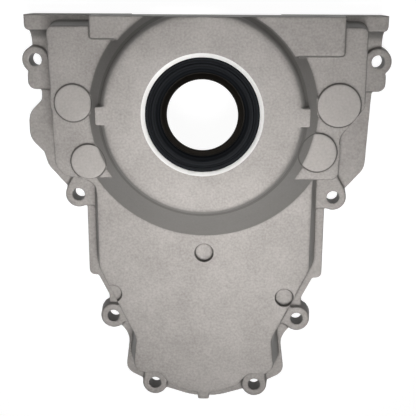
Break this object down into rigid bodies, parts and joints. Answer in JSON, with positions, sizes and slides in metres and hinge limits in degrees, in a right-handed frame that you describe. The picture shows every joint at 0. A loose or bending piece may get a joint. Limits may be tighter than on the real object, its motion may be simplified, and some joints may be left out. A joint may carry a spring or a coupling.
{
  "type": "timing cover",
  "caption": "Die-cast engine timing cover with bolt ears round its flange, a raised crank boss, a pan rail and a pressed-in shaft seal.",
  "frame": {"origin": "middle of the part's box on the gasket face", "axes": "+Z from the gasket face to the front, +Y towards the oil pan rail, +X to the right seen from the front"},
  "size_m": [0.24, 0.2646, 0.064],
  "materials": {
    "cover": "matt as-cast skin with turned and milled faces",
    "seal_case": "pressed steel",
    "seal_rubber": "moulded black rubber",
    "seal_lip": "dark brown lip element"
  },
  "bodies": {
    "root": {"cover": "cover", "seal_case": "seal_case", "seal_rubber": "seal_rubber", "seal_lip": "seal_lip"}
  },
  "joints": []
}
